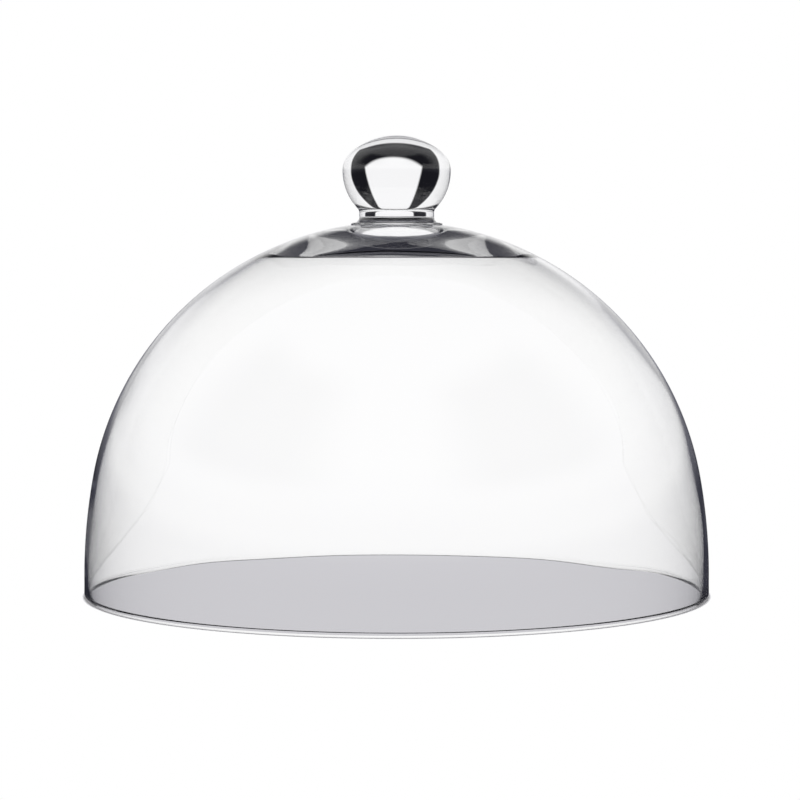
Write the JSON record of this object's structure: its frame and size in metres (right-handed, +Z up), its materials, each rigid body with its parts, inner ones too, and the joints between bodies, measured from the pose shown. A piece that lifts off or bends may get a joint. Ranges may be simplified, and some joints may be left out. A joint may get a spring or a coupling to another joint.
{
  "type": "food cover dome",
  "caption": "Clear blown glass food cover: a round bell, open below, with a heavy crown and a solid ball knob on a waisted neck to lift it by.",
  "frame": {"origin": "centre of the circle on which the rim stands", "axes": "+Z up along the axis of the bell and the knob; the picture's camera looks along +Y, and X is to its right"},
  "size_m": [0.3, 0.3, 0.2199],
  "materials": {
    "bell_glass": "clear blown soda-lime glass, fire polished",
    "knob_glass": "clear solid soda-lime glass, fire polished"
  },
  "bodies": {
    "root": {"bell": "bell_glass", "knob": "knob_glass"}
  },
  "joints": []
}
